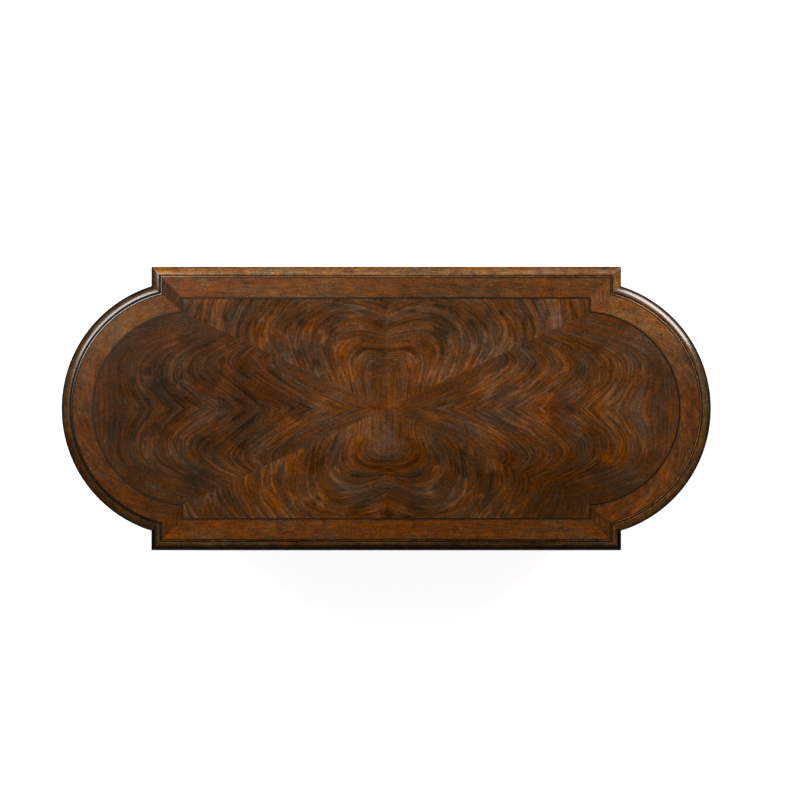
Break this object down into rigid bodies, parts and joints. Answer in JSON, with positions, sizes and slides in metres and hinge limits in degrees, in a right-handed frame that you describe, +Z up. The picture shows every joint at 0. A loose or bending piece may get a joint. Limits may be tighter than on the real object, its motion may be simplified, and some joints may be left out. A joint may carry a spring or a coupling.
{
  "type": "pedestal desk",
  "caption": "Double-pedestal mahogany desk: stepped top with rounded ends, moulded edge, border, inlaid line and figured veneer, over drawers in two pedestals with bowed ends.",
  "frame": {"origin": "on the floor, under the middle of the desk", "axes": "+X to the right along the length as seen from the chair side, +Y towards the back, +Z up; the drawers face -Y"},
  "size_m": [1.83, 0.8, 0.775],
  "materials": {
    "mahogany": "polished dark mahogany, satin gloss",
    "border_veneer": "crossbanded mahogany veneer, polished",
    "figured_veneer": "crotch-figured mahogany veneer, polished",
    "dark_line": "black stained stringing, polished",
    "core": "plain core board",
    "drawer_lining": "plain oak, waxed",
    "brass": "aged polished brass"
  },
  "bodies": {
    "carcase": {"top_core": "core", "edging_right_end": "mahogany", "edging_back": "mahogany", "edging_left_end": "mahogany", "edging_front": "mahogany", "border_right_end": "border_veneer", "border_back": "border_veneer", "border_left_end": "border_veneer", "border_front": "border_veneer", "inlay_line": "dark_line", "field_right": "figured_veneer", "field_back": "figured_veneer", "field_left": "figured_veneer", "field_front": "figured_veneer", "left_plinth": "mahogany", "left_base_board": "mahogany", "left_kneehole_side": "mahogany", "left_outer_side": "mahogany", "left_face_frame": "mahogany", "left_back_panel": "mahogany", "left_upper_dustboard": "drawer_lining", "left_lower_dustboard": "drawer_lining", "left_end_frame": "mahogany", "left_end_panel": "figured_veneer", "right_plinth": "mahogany", "right_base_board": "mahogany", "right_kneehole_side": "mahogany", "right_outer_side": "mahogany", "right_face_frame": "mahogany", "right_back_panel": "mahogany", "right_upper_dustboard": "drawer_lining", "right_lower_dustboard": "drawer_lining", "right_end_frame": "mahogany", "right_end_panel": "figured_veneer", "centre_top_rail": "mahogany", "centre_dustboard": "mahogany", "modesty_panel": "mahogany"},
    "left_upper_drawer": {"left_upper_drawer_front": "figured_veneer", "left_upper_drawer_box": "drawer_lining", "left_upper_drawer_knob": "brass"},
    "left_middle_drawer": {"left_middle_drawer_front": "figured_veneer", "left_middle_drawer_box": "drawer_lining", "left_middle_drawer_knob": "brass"},
    "left_lower_drawer": {"left_lower_drawer_front": "figured_veneer", "left_lower_drawer_box": "drawer_lining", "left_lower_drawer_knob": "brass"},
    "right_upper_drawer": {"right_upper_drawer_front": "figured_veneer", "right_upper_drawer_box": "drawer_lining", "right_upper_drawer_knob": "brass"},
    "right_middle_drawer": {"right_middle_drawer_front": "figured_veneer", "right_middle_drawer_box": "drawer_lining", "right_middle_drawer_knob": "brass"},
    "right_lower_drawer": {"right_lower_drawer_front": "figured_veneer", "right_lower_drawer_box": "drawer_lining", "right_lower_drawer_knob": "brass"},
    "centre_drawer": {"centre_drawer_front": "figured_veneer", "centre_drawer_box": "drawer_lining", "centre_drawer_left_knob": "brass", "centre_drawer_right_knob": "brass"}
  },
  "joints": [
    {"name": "left_upper_drawer_slide", "type": "slide", "parent": "carcase", "child": "left_upper_drawer", "axis": [0, -1, 0], "range_m": [0, 0.42]},
    {"name": "left_middle_drawer_slide", "type": "slide", "parent": "carcase", "child": "left_middle_drawer", "axis": [0, -1, 0], "range_m": [0, 0.42]},
    {"name": "left_lower_drawer_slide", "type": "slide", "parent": "carcase", "child": "left_lower_drawer", "axis": [0, -1, 0], "range_m": [0, 0.42]},
    {"name": "right_upper_drawer_slide", "type": "slide", "parent": "carcase", "child": "right_upper_drawer", "axis": [0, -1, 0], "range_m": [0, 0.42]},
    {"name": "right_middle_drawer_slide", "type": "slide", "parent": "carcase", "child": "right_middle_drawer", "axis": [0, -1, 0], "range_m": [0, 0.42]},
    {"name": "right_lower_drawer_slide", "type": "slide", "parent": "carcase", "child": "right_lower_drawer", "axis": [0, -1, 0], "range_m": [0, 0.42]},
    {"name": "centre_drawer_slide", "type": "slide", "parent": "carcase", "child": "centre_drawer", "axis": [0, -1, 0], "range_m": [0, 0.42]}
  ]
}
